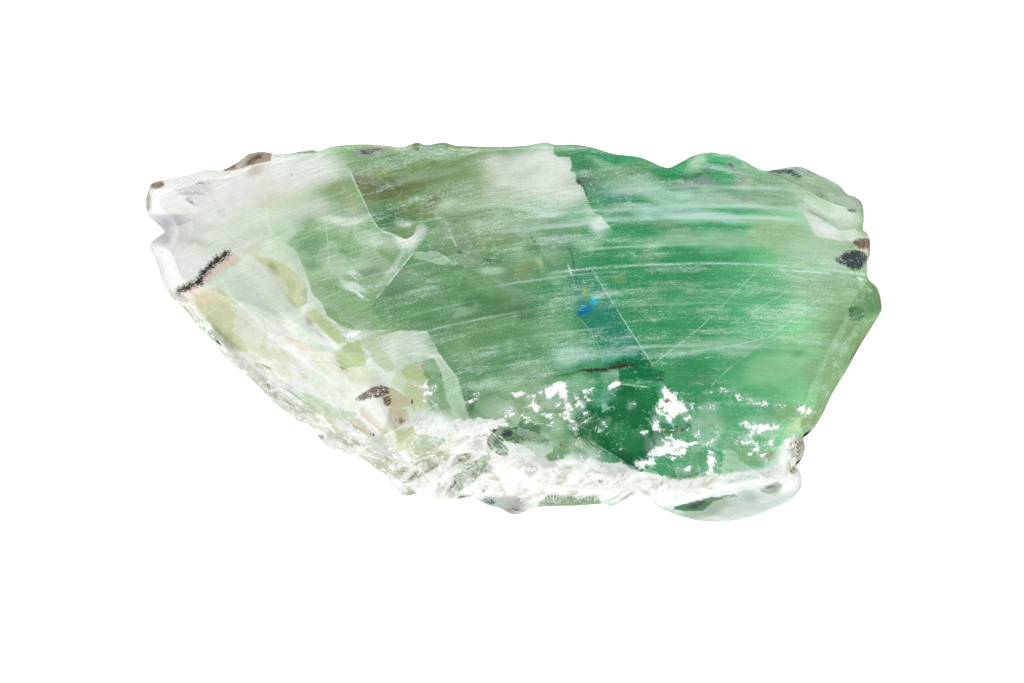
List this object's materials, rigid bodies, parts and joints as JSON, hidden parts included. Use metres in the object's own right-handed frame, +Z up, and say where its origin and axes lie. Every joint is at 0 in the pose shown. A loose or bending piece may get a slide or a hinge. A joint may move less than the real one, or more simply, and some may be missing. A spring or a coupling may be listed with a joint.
{
  "type": "chrysoberyl crystal",
  "caption": "Broken slab of milky green crystal with one flat face, a chipped and sloping lower side and a flat underside to rest on.",
  "frame": {"origin": "centre of the stone's bounding box in plan, on the plane of its flat underside", "axes": "+X along the stone's length towards its greener end, +Y across it from the chipped side to the straight side, +Z up out of the flat face, away from the underside"},
  "size_m": [0.059, 0.0304, 0.012],
  "materials": {
    "green_crystal": "glassy to satin, milky and partly see-through"
  },
  "bodies": {
    "root": {"crystal": "green_crystal"}
  },
  "joints": []
}
